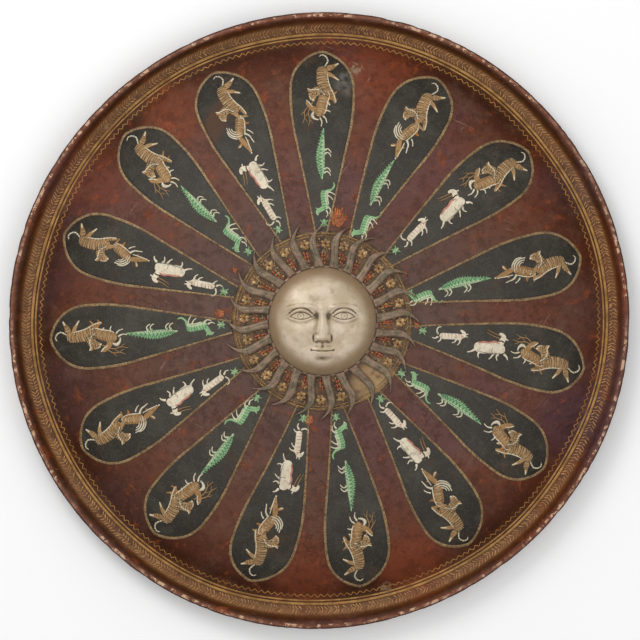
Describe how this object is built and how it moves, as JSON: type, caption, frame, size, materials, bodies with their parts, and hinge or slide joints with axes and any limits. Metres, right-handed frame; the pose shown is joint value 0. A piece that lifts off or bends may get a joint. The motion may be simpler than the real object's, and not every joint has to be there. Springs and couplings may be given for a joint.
{
  "type": "hide shield",
  "caption": "Round domed hide shield with an upturned rim, painted petals and a raised sun face, with leather handles and a knuckle pad behind.",
  "frame": {"origin": "on the plane that the shield rests on, under the middle of its outline", "axes": "+Z out of the painted front, which faces up; +Y towards the top of the sun's head; +X to the right"},
  "size_m": [0.563, 0.5596, 0.1042],
  "materials": {
    "hide": "lacquered, satin",
    "ray_metal": "dark patina",
    "silver": "worn, tarnished in the hollows",
    "pad_cloth": "worn",
    "strap_leather": "worn, matt",
    "iron": "blackened"
  },
  "bodies": {
    "root": {"hide_shell": "hide", "ray_plate": "ray_metal", "sun_face": "silver", "knuckle_pad": "pad_cloth", "handle_upper": "strap_leather", "handle_lower": "strap_leather", "ring_upper_left": "iron", "staple_upper_left": "iron", "ring_upper_right": "iron", "staple_upper_right": "iron", "ring_lower_left": "iron", "staple_lower_left": "iron", "ring_lower_right": "iron", "staple_lower_right": "iron"}
  },
  "joints": []
}
